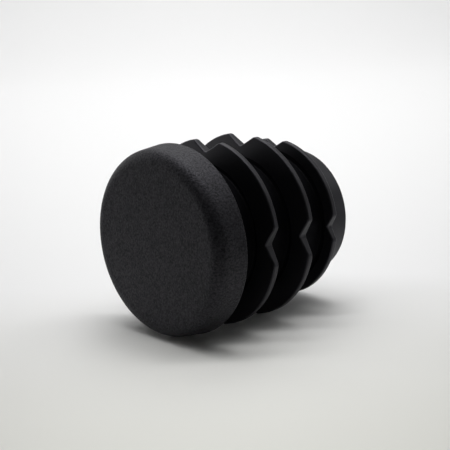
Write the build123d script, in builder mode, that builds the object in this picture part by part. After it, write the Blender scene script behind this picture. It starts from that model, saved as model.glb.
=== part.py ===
from build123d import *
from math import cos, radians, tan
import os

# Ribbed end cap for a round 25 mm tube, moulded in one piece of black polyethylene.
# The cap lies on its side, as it comes to rest. Its axis runs along +X, from the outer
# face of the head to the open nose. The origin is under the middle of the cap, on the
# surface that it lies on, and +Z is up. All sizes are in millimetres.

# Head: the button that covers the tube's end
HEAD_DIAMETER = 25.0  # over its back rim, the same as the tube
HEAD_THICKNESS = 4.4
HEAD_DRAFT = 6.8  # degrees, the side narrows towards the outer face
HEAD_EDGE_RADIUS = 1.7
BACK_RIM_RADIUS = 0.15

# Core: the drafted hollow body that carries the ribs
SPIGOT_LENGTH = 22.7  # from the shoulder to the nose
CORE_ROOT_DIAMETER = 18.2
CORE_NOSE_DIAMETER = 17.6
NOSE_EDGE_RADIUS = 0.3
ROOT_RADIUS = 0.15  # in the corners between core, shoulder and ribs

# Hollow: blind, open at the nose, so that the walls are about even
HOLLOW_FLOOR_DIAMETER = 12.8
HOLLOW_MOUTH_DIAMETER = 13.6
FACE_WALL = 2.4  # plastic left between the hollow and the outer face
HOLLOW_FLOOR_RADIUS = 0.8
MOUTH_EDGE_RADIUS = 0.3

# Ribs: thin flexible discs that grip the inside of the tube
RIB_THICKNESS = 0.8  # at the rim
RIB_DRAFT = 8.0  # degrees, each side leans so that the rib thickens towards the core
RIB_PITCH = 6.3
FIRST_RIB = 5.0  # from the shoulder to the front of the first rib's rim
GRIP_RIB_DIAMETER = 24.8
LEAD_RIB_DIAMETER = 21.8  # the last rib is smaller, to find the tube
RIB_EDGE_RADIUS = 0.2

# Notches: four in each rib, in line along the cap, at the top, the bottom and the sides
NOTCH_COUNT = 4
NOTCH_ANGLE = 116.0  # degrees, between the two flanks
GRIP_NOTCH_DEPTH = 1.7
LEAD_NOTCH_DEPTH = 1.15
NOTCH_VALLEY_RADIUS = 0.5
NOTCH_CORNER_RADIUS = 0.8
NOTCH_REACH = 3.0  # how far the cutting triangle runs outwards from the valley
NOTCH_OVERRUN = 1.0  # how far the cut runs past each side of the rim

NEAR = 0.01  # how close an edge must lie to the place it is picked by

# Where the cap stands in its frame
OVERALL_LENGTH = HEAD_THICKNESS + SPIGOT_LENGTH
AXIS_HEIGHT = HEAD_DIAMETER / 2
SHOULDER = Vector(HEAD_THICKNESS - OVERALL_LENGTH / 2, 0, AXIS_HEIGHT)
cap_axis = Axis(SHOULDER, (1, 0, 0))
side_plane = Plane(SHOULDER, x_dir=(1, 0, 0), z_dir=(0, -1, 0))  # along the axis, and up
cross_plane = Plane(SHOULDER, x_dir=(0, 1, 0), z_dir=(1, 0, 0))  # square to the axis

# The section's corners, as distance from the shoulder and distance from the axis
# The back rim's rounding takes a little off its corner, so the corner stands that much further out
draft = radians(HEAD_DRAFT)
rim_radius = HEAD_DIAMETER / 2 + BACK_RIM_RADIUS * (tan(draft) + 1 / cos(draft) - 1)
face_radius = rim_radius - HEAD_THICKNESS * tan(draft)
hollow_floor = FACE_WALL - HEAD_THICKNESS
face_centre = (-HEAD_THICKNESS, 0)
face_corner = (-HEAD_THICKNESS, face_radius)
back_rim = (0, rim_radius)
core_root = (0, CORE_ROOT_DIAMETER / 2)
nose_corner = (SPIGOT_LENGTH, CORE_NOSE_DIAMETER / 2)
mouth_corner = (SPIGOT_LENGTH, HOLLOW_MOUTH_DIAMETER / 2)
floor_corner = (hollow_floor, HOLLOW_FLOOR_DIAMETER / 2)
floor_centre = (hollow_floor, 0)

# Front of each rib's rim, its diameter and the depth of its notches
second_rib = FIRST_RIB + RIB_PITCH
lead_rib = second_rib + RIB_PITCH
ribs = [
    (FIRST_RIB, GRIP_RIB_DIAMETER, GRIP_NOTCH_DEPTH),
    (second_rib, GRIP_RIB_DIAMETER, GRIP_NOTCH_DEPTH),
    (lead_rib, LEAD_RIB_DIAMETER, LEAD_NOTCH_DEPTH),
]


def distance_from_axis(edge):
    """Distance of the middle of an edge from the cap's axis."""
    middle = edge @ 0.5
    return Vector(0, middle.Y, middle.Z - AXIS_HEIGHT).length


with BuildPart() as end_cap:
    # Head, core, hollow and ribs are one section, turned about the axis
    with BuildSketch(side_plane) as section:
        with BuildLine():
            FilletPolyline(
                face_centre,
                face_corner,
                back_rim,
                core_root,
                nose_corner,
                mouth_corner,
                floor_corner,
                floor_centre,
                radius=[
                    HEAD_EDGE_RADIUS,
                    BACK_RIM_RADIUS,
                    ROOT_RADIUS,
                    NOSE_EDGE_RADIUS,
                    MOUTH_EDGE_RADIUS,
                    HOLLOW_FLOOR_RADIUS,
                ],
            )
            Line(floor_centre, face_centre)
        make_face()

        # Each rib's section starts inside the core's wall and thins out to its rim
        wall_middle = (CORE_NOSE_DIAMETER + HOLLOW_MOUTH_DIAMETER) / 4
        for front, diameter, depth in ribs:
            back = front + RIB_THICKNESS
            rim = diameter / 2
            lean = (rim - wall_middle) * tan(radians(RIB_DRAFT))
            Polygon(
                (front - lean, wall_middle),
                (back + lean, wall_middle),
                (back, rim),
                (front, rim),
                align=None,
            )

        # Fillets where the ribs stand on the core
        beside_ribs = section.vertices().filter_by_position(
            Axis.X, FIRST_RIB - 2 * RIB_THICKNESS, lead_rib + 3 * RIB_THICKNESS
        )
        on_core = beside_ribs.filter_by_position(Axis.Y, CORE_NOSE_DIAMETER / 2, CORE_ROOT_DIAMETER / 2)
        fillet(on_core, ROOT_RADIUS)
    revolve(axis=cap_axis)

    # Four V notches through each rib, rounded in the valley
    notch_spread = NOTCH_REACH * tan(radians(NOTCH_ANGLE / 2))
    for front, diameter, depth in ribs:
        with BuildSketch(cross_plane.offset(front - NOTCH_OVERRUN)) as notches:
            with PolarLocations(diameter / 2 - depth, NOTCH_COUNT):
                Polygon(
                    (0, 0),
                    (NOTCH_REACH, -notch_spread),
                    (NOTCH_REACH, notch_spread),
                    align=None,
                )
            by_radius = notches.vertices().sort_by(lambda vertex: vertex.center().length)
            fillet(by_radius[:NOTCH_COUNT], NOTCH_VALLEY_RADIUS)
        extrude(amount=RIB_THICKNESS + 2 * NOTCH_OVERRUN, mode=Mode.SUBTRACT)

    # The corners between notch and rim are rounded too
    along_axis = end_cap.edges().filter_by(Axis.X)
    rim_corners = along_axis.filter_by(lambda edge: distance_from_axis(edge) > LEAD_RIB_DIAMETER / 2 - NEAR)
    fillet(rim_corners, NOTCH_CORNER_RADIUS)

    # Soft edges all round each rib
    for front, diameter, depth in ribs:
        valley = diameter / 2 - depth
        lean = depth * tan(radians(RIB_DRAFT))
        front_x = SHOULDER.X + front
        back_x = front_x + RIB_THICKNESS
        for first_x, last_x in ((front_x - lean, front_x), (back_x, back_x + lean)):
            side_edges = end_cap.edges().filter_by_position(Axis.X, first_x - NEAR, last_x + NEAR)
            outer_edges = side_edges.filter_by(lambda edge: distance_from_axis(edge) > valley - NEAR)
            fillet(outer_edges, RIB_EDGE_RADIUS)

end_cap.part.label = "end_cap"

os.makedirs("parts", exist_ok=True)
export_step(end_cap.part, "parts/end_cap.step")
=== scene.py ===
"""Looks of the ribbed end cap: the finish of its moulded surfaces, a paper sweep, lights and a camera.

Lengths are named in millimetres and turned to metres by MM. The cap's shape is the CAD node end_cap itself.
"""

import logging
import math
from dataclasses import dataclass
from enum import Enum
from typing import Any

import bmesh
import bpy
from mathutils import Matrix, Vector


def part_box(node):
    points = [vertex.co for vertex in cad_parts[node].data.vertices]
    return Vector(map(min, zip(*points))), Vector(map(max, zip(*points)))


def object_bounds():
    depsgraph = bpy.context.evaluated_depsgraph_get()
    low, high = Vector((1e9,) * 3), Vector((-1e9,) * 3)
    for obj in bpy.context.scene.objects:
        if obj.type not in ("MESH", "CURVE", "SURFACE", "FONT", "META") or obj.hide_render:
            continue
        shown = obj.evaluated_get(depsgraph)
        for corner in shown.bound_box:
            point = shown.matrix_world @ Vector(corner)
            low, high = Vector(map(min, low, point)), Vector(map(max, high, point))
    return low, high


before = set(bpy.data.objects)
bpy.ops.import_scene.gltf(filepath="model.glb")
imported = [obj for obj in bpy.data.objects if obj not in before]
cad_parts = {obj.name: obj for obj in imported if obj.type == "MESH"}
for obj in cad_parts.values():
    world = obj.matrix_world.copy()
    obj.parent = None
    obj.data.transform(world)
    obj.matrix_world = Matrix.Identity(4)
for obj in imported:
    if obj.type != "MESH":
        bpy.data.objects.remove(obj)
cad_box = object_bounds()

MM = 0.001
LOG = logging.getLogger("end_cap")


def linear(hex_colour: str) -> tuple[float, float, float, float]:
    """Turn an sRGB hex colour to the linear RGBA that a shader socket takes.

    Args:
        hex_colour: Six hex digits, with or without a leading #.

    Returns:
        Linear red, green, blue and an alpha of 1.
    """
    digits = hex_colour.lstrip("#")
    channels = [int(digits[i:i + 2], 16) / 255 for i in (0, 2, 4)]
    # The sRGB curve: a straight foot, then a power
    red, green, blue = (c / 12.92 if c <= 0.04045 else ((c + 0.055) / 1.055) ** 2.4 for c in channels)
    return red, green, blue, 1.0


def add_node(
    tree: bpy.types.NodeTree,
    kind: str,
    settings: dict[str, Any] | None = None,
    inputs: dict[Any, Any] | None = None,
) -> bpy.types.Node:
    """Add one shader node with its settings, values and links.

    Args:
        tree: The node tree that gets the node.
        kind: The node's type name in Blender.
        settings: Attributes to set on the node.
        inputs: Value, or output socket to link, for each input by name or number.

    Returns:
        The new node.
    """
    node = tree.nodes.new(kind)
    for name, value in (settings or {}).items():
        setattr(node, name, value)
    for name, value in (inputs or {}).items():
        if isinstance(value, bpy.types.NodeSocket):
            tree.links.new(value, node.inputs[name])
        else:
            node.inputs[name].default_value = value
    return node


def new_material(name: str) -> tuple[bpy.types.Material, bpy.types.NodeTree]:
    """Make an empty node material.

    Args:
        name: The material's name.

    Returns:
        The material and its node tree.
    """
    material = bpy.data.materials.new(name)
    material.use_nodes = True
    material.node_tree.nodes.clear()
    return material, material.node_tree


@dataclass(frozen=True)
class Skin:
    """How a moulded surface takes the light.

    Attributes:
        roughness: The shader's roughness.
        specular_level: The shader's specular level, where 0.5 is a bare, clean surface.
    """

    roughness: float
    specular_level: float


class Mould(Enum):
    """How the steel was finished that shaped a surface, and the skin that it left. The grooves' bottoms
    instead get painted shade, as a skin with a very low specular level.
    """

    SPARK_ERODED = Skin(roughness=0.60, specular_level=0.33)
    STONED = Skin(roughness=0.45, specular_level=0.31)
    # Painted shade: a very low specular level keeps the grooves' bottoms dark
    GROOVE_PAINTED_SHADE = Skin(roughness=0.60, specular_level=0.06)


@dataclass(frozen=True)
class MouldedPolyethylene:
    """Black low-density polyethylene, injection moulded.

    The head's cavity was spark eroded, which leaves a fine pitted grain with a dull, slightly violet sheen.
    Its specular level is painted lower in each pit, as painted shade, and higher on each crest, as painted
    highlight.
    The ribs and the nose come from stoned steel and are smooth and satin, so they show soft bright edges.
    The bottoms of the narrow grooves between the ribs get a very low specular level: painted shade that
    keeps them deep black.

    Attributes:
        colour: The plastic, coloured right through.
        sheen: The tint of what the surface reflects.
        ior: The plastic's index of refraction.
        grain_mm: Size of a pit and its crest, at the coarse end of such grains so that it shows.
        grain_depth_mm: How deep the pits are.
        grain_stop_mm: How far before the head's back the grain stops.
        pit_shade: How far the specular level is painted down in a pit, as painted shade, and up on a crest,
            as painted highlight.
        flow_mm: Size of the faint waves that the plastic's flow leaves.
        flow_depth_mm: How high those waves are.
    """

    colour: str = "#040406"
    sheen: str = "#f3f1ff"
    ior: float = 1.51
    grain_mm: float = 0.24
    grain_depth_mm: float = 0.060
    grain_stop_mm: float = 0.1
    pit_shade: float = 0.5
    flow_mm: float = 2.5
    flow_depth_mm: float = 0.004

    def material(
        self, shoulder_x: float, nose_x: float, groove_radius: float, axis_z: float
    ) -> bpy.types.Material:
        """Build the material.

        Args:
            shoulder_x: Where the head's back lies along X, in metres.
            nose_x: Where the last groove ends along X, in metres.
            groove_radius: Distance from the axis within which a groove's bottom lies, in metres.
            axis_z: Height of the moulding's axis, in metres.

        Returns:
            The finished material.
        """
        material, tree = new_material("moulded_black_polyethylene")
        place = add_node(tree, "ShaderNodeTexCoord").outputs["Object"]
        along = add_node(tree, "ShaderNodeSeparateXYZ", inputs={0: place}).outputs["X"]
        grain_end = shoulder_x - self.grain_stop_mm * MM
        on_head = add_node(
            tree, "ShaderNodeMath", {"operation": "LESS_THAN"}, {0: along, 1: grain_end}
        ).outputs[0]
        in_groove = self.in_groove(tree, place, along, nose_x, groove_radius, axis_z)
        grain = add_node(
            tree,
            "ShaderNodeTexNoise",
            {"noise_dimensions": "3D"},
            {"Vector": place, "Scale": 1 / (self.grain_mm * MM), "Detail": 1.5, "Roughness": 0.6},
        ).outputs[0]
        grain_height = self.choose(tree, on_head, 0.0, grain)
        flow = add_node(
            tree,
            "ShaderNodeTexNoise",
            {"noise_dimensions": "3D"},
            {"Vector": place, "Scale": 1 / (self.flow_mm * MM), "Detail": 1.0, "Roughness": 0.5},
        ).outputs[0]
        waves = add_node(
            tree,
            "ShaderNodeBump",
            inputs={"Strength": 1.0, "Distance": self.flow_depth_mm * MM, "Height": flow},
        ).outputs[0]
        pits = add_node(
            tree,
            "ShaderNodeBump",
            inputs={
                "Strength": 1.0,
                "Distance": self.grain_depth_mm * MM,
                "Height": grain_height,
                "Normal": waves,
            },
        ).outputs[0]
        eroded, stoned, groove = Mould.SPARK_ERODED.value, Mould.STONED.value, Mould.GROOVE_PAINTED_SHADE.value
        # Painted shade in the pits and painted highlight on the crests, in the specular level. Nearly all of
        # the noise lies between 0.3, a pit, and 0.7, a crest
        shaded = add_node(
            tree,
            "ShaderNodeMapRange",
            inputs={
                "Value": grain,
                "From Min": 0.3,
                "From Max": 0.7,
                "To Min": eroded.specular_level * (1 - self.pit_shade),
                "To Max": eroded.specular_level * (1 + self.pit_shade),
            },
        ).outputs[0]
        # The grooves' bottoms take the painted shade skin
        roughness = self.choose(tree, in_groove, stoned.roughness, groove.roughness)
        specular_level = self.choose(tree, in_groove, stoned.specular_level, groove.specular_level)
        shader = add_node(
            tree,
            "ShaderNodeBsdfPrincipled",
            inputs={
                "Base Color": linear(self.colour),
                "Roughness": self.choose(tree, on_head, roughness, eroded.roughness),
                "IOR": self.ior,
                "Specular IOR Level": self.choose(tree, on_head, specular_level, shaded),
                "Specular Tint": linear(self.sheen),
                "Normal": pits,
            },
        )
        add_node(tree, "ShaderNodeOutputMaterial", inputs={"Surface": shader.outputs[0]})
        return material

    @staticmethod
    def in_groove(
        tree: bpy.types.NodeTree,
        place: bpy.types.NodeSocket,
        along: bpy.types.NodeSocket,
        nose_x: float,
        groove_radius: float,
        axis_z: float,
    ) -> bpy.types.NodeSocket:
        """Find the bottoms of the grooves between the ribs.

        Args:
            tree: The material's node tree.
            place: The socket with the place in object coordinates.
            along: The socket with the place along X.
            nose_x: Where the last groove ends along X, in metres.
            groove_radius: Distance from the axis within which a groove's bottom lies, in metres.
            axis_z: Height of the moulding's axis, in metres.

        Returns:
            The socket that is 1 at the bottom of a groove and 0 elsewhere.
        """
        # Leave out X and count Z from the axis, so that the length left is the distance from the axis
        across = add_node(
            tree,
            "ShaderNodeVectorMath",
            {"operation": "MULTIPLY_ADD"},
            {0: place, 1: (0.0, 1.0, 1.0), 2: (0.0, 0.0, -axis_z)},
        ).outputs[0]
        radius = add_node(
            tree, "ShaderNodeVectorMath", {"operation": "LENGTH"}, {0: across}
        ).outputs["Value"]
        deep = add_node(
            tree, "ShaderNodeMath", {"operation": "LESS_THAN"}, {0: radius, 1: groove_radius}
        ).outputs[0]
        before_nose = add_node(
            tree, "ShaderNodeMath", {"operation": "LESS_THAN"}, {0: along, 1: nose_x}
        ).outputs[0]
        return add_node(
            tree, "ShaderNodeMath", {"operation": "MULTIPLY"}, {0: deep, 1: before_nose}
        ).outputs[0]

    @staticmethod
    def choose(
        tree: bpy.types.NodeTree, here: bpy.types.NodeSocket, elsewhere: Any, value: Any
    ) -> bpy.types.NodeSocket:
        """Choose one value where a mask is 1 and another where it is 0.

        Args:
            tree: The material's node tree.
            here: The mask's socket.
            elsewhere: The value, or output socket, where the mask is 0.
            value: The value, or output socket, where the mask is 1.

        Returns:
            The socket with the chosen value.
        """
        return add_node(
            tree, "ShaderNodeMix", {"data_type": "FLOAT"}, {0: here, 2: elsewhere, 3: value}
        ).outputs[0]


@dataclass(frozen=True)
class SeamlessPaper:
    """White background paper, matt as uncoated stock is, so it shows soft shadows and no gloss.

    It is neutral behind the cap. Towards its front it is darker and a little creamier, and towards its sides
    darker: painted shade where the light falls off.

    Attributes:
        colour: The paper behind the cap, where it gets no painted shade.
        front_shade_colour: The paper at its front edge, darker and a little creamier, with painted shade.
        front_mm: Where along the line of sight the front colour is full, counted from the frame's origin.
        front_shade_start_mm: Where along the line of sight the painted shade towards the front starts.
        side_shade: How much painted shade darkens the paper at side_slope, compared with the middle.
        side_slope: Sideways distance over distance from the fan's tip, where side_shade is full.
        fan_tip_mm: How far before the origin the fan of unshaded paper starts.
    """

    colour: str = "#f4f4f4"
    front_shade_colour: str = "#e5e5df"
    front_mm: float = -48.0
    front_shade_start_mm: float = 15.0
    side_shade: float = 0.50
    side_slope: float = 0.48
    fan_tip_mm: float = 150.0

    def material(self, away: Vector) -> bpy.types.Material:
        """Build the paper's material.

        Args:
            away: Level direction in which the sheet runs to the back.

        Returns:
            The finished material.
        """
        material, tree = new_material("white_background_paper")
        place = add_node(tree, "ShaderNodeTexCoord").outputs["Object"]
        back = self.distance_along(tree, place, away)
        aside = self.distance_along(tree, place, Vector((-away.y, away.x, 0.0)))
        # Painted shade: the paper turns darker and a little creamier towards its front
        to_front = add_node(
            tree,
            "ShaderNodeMapRange",
            inputs={"Value": back, "From Min": self.front_shade_start_mm * MM, "From Max": self.front_mm * MM},
        ).outputs[0]
        # Painted shade: the paper darkens towards its sides, in a fan that widens to the back
        from_tip = add_node(
            tree, "ShaderNodeMath", {"operation": "ADD"}, {0: back, 1: self.fan_tip_mm * MM}
        ).outputs[0]
        slope = add_node(
            tree, "ShaderNodeMath", {"operation": "DIVIDE"}, {0: aside, 1: from_tip}
        ).outputs[0]
        squared = add_node(
            tree, "ShaderNodeMath", {"operation": "MULTIPLY"}, {0: slope, 1: slope}
        ).outputs[0]
        side_lit_share = add_node(
            tree,
            "ShaderNodeMapRange",
            inputs={
                "Value": squared,
                "From Max": self.side_slope**2,
                "To Min": 1.0,
                "To Max": 1.0 - self.side_shade,
            },
        ).outputs[0]
        tone = add_node(
            tree,
            "ShaderNodeMix",
            {"data_type": "RGBA"},
            {0: to_front, 6: linear(self.colour), 7: linear(self.front_shade_colour)},
        ).outputs[2]
        shaded = add_node(tree, "ShaderNodeVectorMath", {"operation": "SCALE"}, {0: tone, "Scale": side_lit_share})
        shader = add_node(
            tree, "ShaderNodeBsdfDiffuse", inputs={"Color": shaded.outputs[0], "Roughness": 0.5}
        )
        add_node(tree, "ShaderNodeOutputMaterial", inputs={"Surface": shader.outputs[0]})
        return material

    @staticmethod
    def distance_along(
        tree: bpy.types.NodeTree, place: bpy.types.NodeSocket, direction: Vector
    ) -> bpy.types.NodeSocket:
        """Measure how far a place lies along a direction.

        Args:
            tree: The material's node tree.
            place: The socket with the place in object coordinates.
            direction: Unit vector to measure along.

        Returns:
            The socket with the distance in metres.
        """
        return add_node(
            tree, "ShaderNodeVectorMath", {"operation": "DOT_PRODUCT"}, {0: place, 1: tuple(direction)}
        ).outputs["Value"]


@dataclass
class EndCap:
    """The moulded cap, whose shape is the CAD node.

    Attributes:
        node: The CAD node's name.
        head_thickness_mm: Thickness of the grained head.
        nose_length_mm: Length of the smooth nose, from its end into the lead rib's rim.
        groove_radius_mm: Distance from the axis within which the grooves' bottoms lie, just over the core.
    """

    node: str = "end_cap"
    head_thickness_mm: float = 4.4
    nose_length_mm: float = 4.4
    groove_radius_mm: float = 9.5

    def dress(self) -> bpy.types.Object:
        """Give the CAD node its finish.

        Returns:
            The CAD node's object.
        """
        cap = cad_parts[self.node]
        lowest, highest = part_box(self.node)
        finish = MouldedPolyethylene().material(
            shoulder_x=lowest.x + self.head_thickness_mm * MM,
            nose_x=highest.x - self.nose_length_mm * MM,
            groove_radius=self.groove_radius_mm * MM,
            axis_z=(lowest.z + highest.z) / 2,
        )
        for slot in cap.material_slots:
            slot.material = finish
        return cap


@dataclass
class PaperSweep:
    """Sheet of white paper that runs under the cap, curves up behind it and ends just in front of it.

    The cap lies on its head's rim and on the second rib, a little nose down, so in the cap's own frame the
    paper leans up towards the nose by rest_tilt_deg, about the point where the rim touches.

    Attributes:
        view_azimuth_deg: Direction in which the paper runs to the back, seen from above.
        rest_tilt_deg: How far the cap leans nose down as it lies.
        contact_x_mm: Where the head's rim touches the paper along X.
        half_width_mm: Half the sheet's width.
        front_mm: How far the sheet runs to the front of that point.
        back_mm: How far it runs level to the back of it.
        bend_radius_mm: Radius of the bend behind.
        wall_height_mm: Height of the upright stretch above the bend.
        bend_steps: Flat strips in the bend.
    """

    view_azimuth_deg: float
    rest_tilt_deg: float = 1.78
    contact_x_mm: float = -9.3
    half_width_mm: float = 600.0
    front_mm: float = 50.0
    back_mm: float = 260.0
    bend_radius_mm: float = 250.0
    wall_height_mm: float = 400.0
    bend_steps: int = 24

    def build(self) -> bpy.types.Object:
        """Extrude the sheet's profile across its width and lay it under the cap.

        Returns:
            The sheet.
        """
        sheet = bmesh.new()
        profile = [(-self.front_mm, 0.0), (self.back_mm, 0.0)]
        for step in range(1, self.bend_steps + 1):
            turn = math.pi / 2 * step / self.bend_steps
            profile.append(
                (
                    self.back_mm + self.bend_radius_mm * math.sin(turn),
                    self.bend_radius_mm * (1 - math.cos(turn)),
                )
            )
        profile.append((self.back_mm + self.bend_radius_mm, self.bend_radius_mm + self.wall_height_mm))
        side = [sheet.verts.new((along * MM, -self.half_width_mm * MM, up * MM)) for along, up in profile]
        line = [sheet.edges.new(pair) for pair in zip(side, side[1:])]
        made = bmesh.ops.extrude_edge_only(sheet, edges=line)["geom"]
        other_side = [part for part in made if isinstance(part, bmesh.types.BMVert)]
        bmesh.ops.translate(sheet, verts=other_side, vec=(0, 2 * self.half_width_mm * MM, 0))
        bmesh.ops.recalc_face_normals(sheet, faces=sheet.faces)
        mesh = bpy.data.meshes.new("paper_sweep")
        sheet.to_mesh(mesh)
        sheet.free()
        contact = Vector((self.contact_x_mm * MM, 0, 0))
        turned = Matrix.Rotation(math.radians(self.view_azimuth_deg), 4, "Z")
        leaned = Matrix.Rotation(-math.radians(self.rest_tilt_deg), 4, "Y")
        mesh.transform(Matrix.Translation(contact) @ leaned @ turned)
        for face in mesh.polygons:
            face.use_smooth = True
        away = Vector((1, 0, 0))
        away.rotate(turned)
        mesh.materials.append(SeamlessPaper().material(away))
        sweep = bpy.data.objects.new("paper_sweep", mesh)
        bpy.context.scene.collection.objects.link(sweep)
        return sweep


class Aim(Enum):
    """Where a light faces."""

    AT_CAP = "at the cap"
    STRAIGHT_DOWN = "straight down"


@dataclass
class StudioLight:
    """One rectangular light, given by where it stands as the camera sees it, from the middle of the cap.

    Attributes:
        name: The light's name.
        back_mm: How far behind the cap it stands, away from the camera.
        left_mm: How far to the left of the cap it stands.
        up_mm: How far above the middle of the cap it stands.
        size_mm: Its width and height.
        watts: Its power.
        aim: Where it faces. One that faces straight down has its width across the view.
    """

    name: str
    back_mm: float
    left_mm: float
    up_mm: float
    size_mm: tuple[float, float]
    watts: float
    aim: Aim = Aim.AT_CAP

    def build(self, view_azimuth_deg: float, centre: Vector) -> bpy.types.Object:
        """Place the light and turn it.

        Args:
            view_azimuth_deg: The direction in which the camera looks, seen from above.
            centre: The middle of the cap.

        Returns:
            The light.
        """
        azimuth = math.radians(view_azimuth_deg)
        back = Vector((math.cos(azimuth), math.sin(azimuth), 0))
        up = Vector((0, 0, 1))
        left = up.cross(back)
        offset = (back * self.back_mm + left * self.left_mm + up * self.up_mm) * MM
        behind_it = up if self.aim is Aim.STRAIGHT_DOWN else offset.normalized()
        wide = left if self.aim is Aim.STRAIGHT_DOWN else up.cross(behind_it).normalized()
        turn = Matrix((wide, behind_it.cross(wide), behind_it)).transposed().to_4x4()
        data = bpy.data.lights.new(self.name, "AREA")
        data.shape = "RECTANGLE"
        data.size = self.size_mm[0] * MM
        data.size_y = self.size_mm[1] * MM
        data.energy = self.watts
        light = bpy.data.objects.new(self.name, data)
        light.matrix_world = Matrix.Translation(centre + offset) @ turn
        bpy.context.scene.collection.objects.link(light)
        return light


@dataclass
class StudioRig:
    """The lights: three ceiling tubes across the view, a canopy of soft boxes and five side lights.

    The tubes are narrow from front to back, so the shadows stay in streaks to the left and right. The canopy
    whitens the paper behind the cap and lights the top of the head. The side lights draw the ribs' rims.

    Attributes:
        tube_up_mm: How far the tubes hang above the middle of the cap.
        tube_width_mm: Width of a tube.
        canopy_up_mm: How far the soft boxes hang above the middle of the cap.
        canopy_box_mm: Side of a square soft box.
        canopy_back_mm: How far behind the cap the canopy's back row hangs.
        wing_mm: How far the wings of that row hang to the left and right.
        room_glow: Strength of the even grey light of the room, where 1 is white.
    """

    tube_up_mm: float = 400.0
    tube_width_mm: float = 16.0
    canopy_up_mm: float = 450.0
    canopy_box_mm: float = 260.0
    canopy_back_mm: float = 320.0
    wing_mm: float = 280.0
    room_glow: float = 0.02

    def tube(self, name: str, back_mm: float, left_mm: float, length_mm: float, watts: float) -> StudioLight:
        """Describe one ceiling tube."""
        size = (length_mm, self.tube_width_mm)
        return StudioLight(name, back_mm, left_mm, self.tube_up_mm, size, watts, Aim.STRAIGHT_DOWN)

    def box(self, name: str, back_mm: float, left_mm: float, watts: float) -> StudioLight:
        """Describe one soft box of the canopy."""
        size = (self.canopy_box_mm, self.canopy_box_mm)
        return StudioLight(name, back_mm, left_mm, self.canopy_up_mm, size, watts)

    def lights(self) -> list[StudioLight]:
        """List the rig's lights.

        Returns:
            The tubes, the canopy and the side lights.
        """
        back, wing = self.canopy_back_mm, self.wing_mm
        return [
            self.tube("tube_main", back_mm=0, left_mm=75, length_mm=700, watts=0.7),
            self.tube("tube_short", back_mm=20, left_mm=0, length_mm=300, watts=0.3),
            self.tube("tube_front", back_mm=-60, left_mm=-75, length_mm=900, watts=0.25),
            self.box("canopy_top", back_mm=100, left_mm=0, watts=0.4),
            self.box("canopy_back", back_mm=back, left_mm=0, watts=0.8),
            self.box("canopy_left_wing", back_mm=back, left_mm=wing, watts=0.5),
            self.box("canopy_right_wing", back_mm=back, left_mm=-wing, watts=0.15),
            StudioLight("low_left", back_mm=310, left_mm=310, up_mm=80, size_mm=(230, 120), watts=0.2),
            StudioLight("low_right", back_mm=200, left_mm=-350, up_mm=190, size_mm=(230, 200), watts=0.25),
            StudioLight("strip_left", back_mm=90, left_mm=430, up_mm=90, size_mm=(40, 170), watts=0.2),
            StudioLight("strip_right", back_mm=0, left_mm=-450, up_mm=60, size_mm=(40, 110), watts=0.1),
            StudioLight(
                "strip_right_high", back_mm=50, left_mm=-250, up_mm=370, size_mm=(40, 170), watts=0.1
            ),
        ]


@dataclass
class StudioCamera:
    """Camera with a portrait lens that looks down on the cap, head first.

    Attributes:
        lens_mm: Focal length.
        view_azimuth_deg: Direction in which it looks, seen from above.
        pitch_deg: How far it looks down.
        roll_deg: How far it is turned about its line of sight.
        distance_mm: How far it stands from looks_at_mm.
        looks_at_mm: The point in the middle of the picture.
        near_mm: How near it still sees.
    """

    lens_mm: float = 92.0
    view_azimuth_deg: float = 46.57
    pitch_deg: float = 13.17
    roll_deg: float = 1.18
    distance_mm: float = 154.48
    looks_at_mm: tuple[float, float, float] = (-0.52, 0.58, 12.77)
    near_mm: float = 10.0

    def build(self) -> bpy.types.Object:
        """Make the camera the scene's own.

        Returns:
            The camera.
        """
        azimuth = math.radians(self.view_azimuth_deg)
        pitch = math.radians(self.pitch_deg)
        view = Vector(
            (math.cos(pitch) * math.cos(azimuth), math.cos(pitch) * math.sin(azimuth), -math.sin(pitch))
        )
        level = view.to_track_quat("-Z", "Y").to_matrix().to_4x4()
        rolled = Matrix.Rotation(math.radians(self.roll_deg), 4, view) @ level
        data = bpy.data.cameras.new("studio_camera")
        data.lens = self.lens_mm
        data.clip_start = self.near_mm * MM
        camera = bpy.data.objects.new("studio_camera", data)
        place = Vector(self.looks_at_mm) * MM - view * self.distance_mm * MM
        camera.matrix_world = Matrix.Translation(place) @ rolled
        bpy.context.scene.collection.objects.link(camera)
        bpy.context.scene.camera = camera
        return camera


def set_world(strength: float) -> None:
    """Fill the room beyond the paper with even grey light.

    Args:
        strength: The light's strength, where 1 is white.
    """
    world = bpy.data.worlds.new("studio")
    world.use_nodes = True
    world.node_tree.nodes.clear()
    light = add_node(world.node_tree, "ShaderNodeBackground", inputs={"Strength": strength})
    add_node(world.node_tree, "ShaderNodeOutputWorld", inputs={"Surface": light.outputs[0]})
    bpy.context.scene.world = world


def main() -> None:
    """Build the camera, the stage and the cap in order."""
    logging.basicConfig(level=logging.INFO, format="%(name)s: %(message)s")
    bpy.context.scene.view_settings.view_transform = "Standard"
    camera = StudioCamera()
    LOG.info("camera %s", camera.build().name)
    sweep = PaperSweep(camera.view_azimuth_deg)
    LOG.info("stage %s", sweep.build().name)
    lowest, highest = cad_box
    centre = (lowest + highest) / 2
    rig = StudioRig()
    for light in rig.lights():
        LOG.info("light %s", light.build(camera.view_azimuth_deg, centre).name)
    set_world(rig.room_glow)
    LOG.info("piece %s", EndCap().dress().name)


if __name__ == "__main__":
    main()
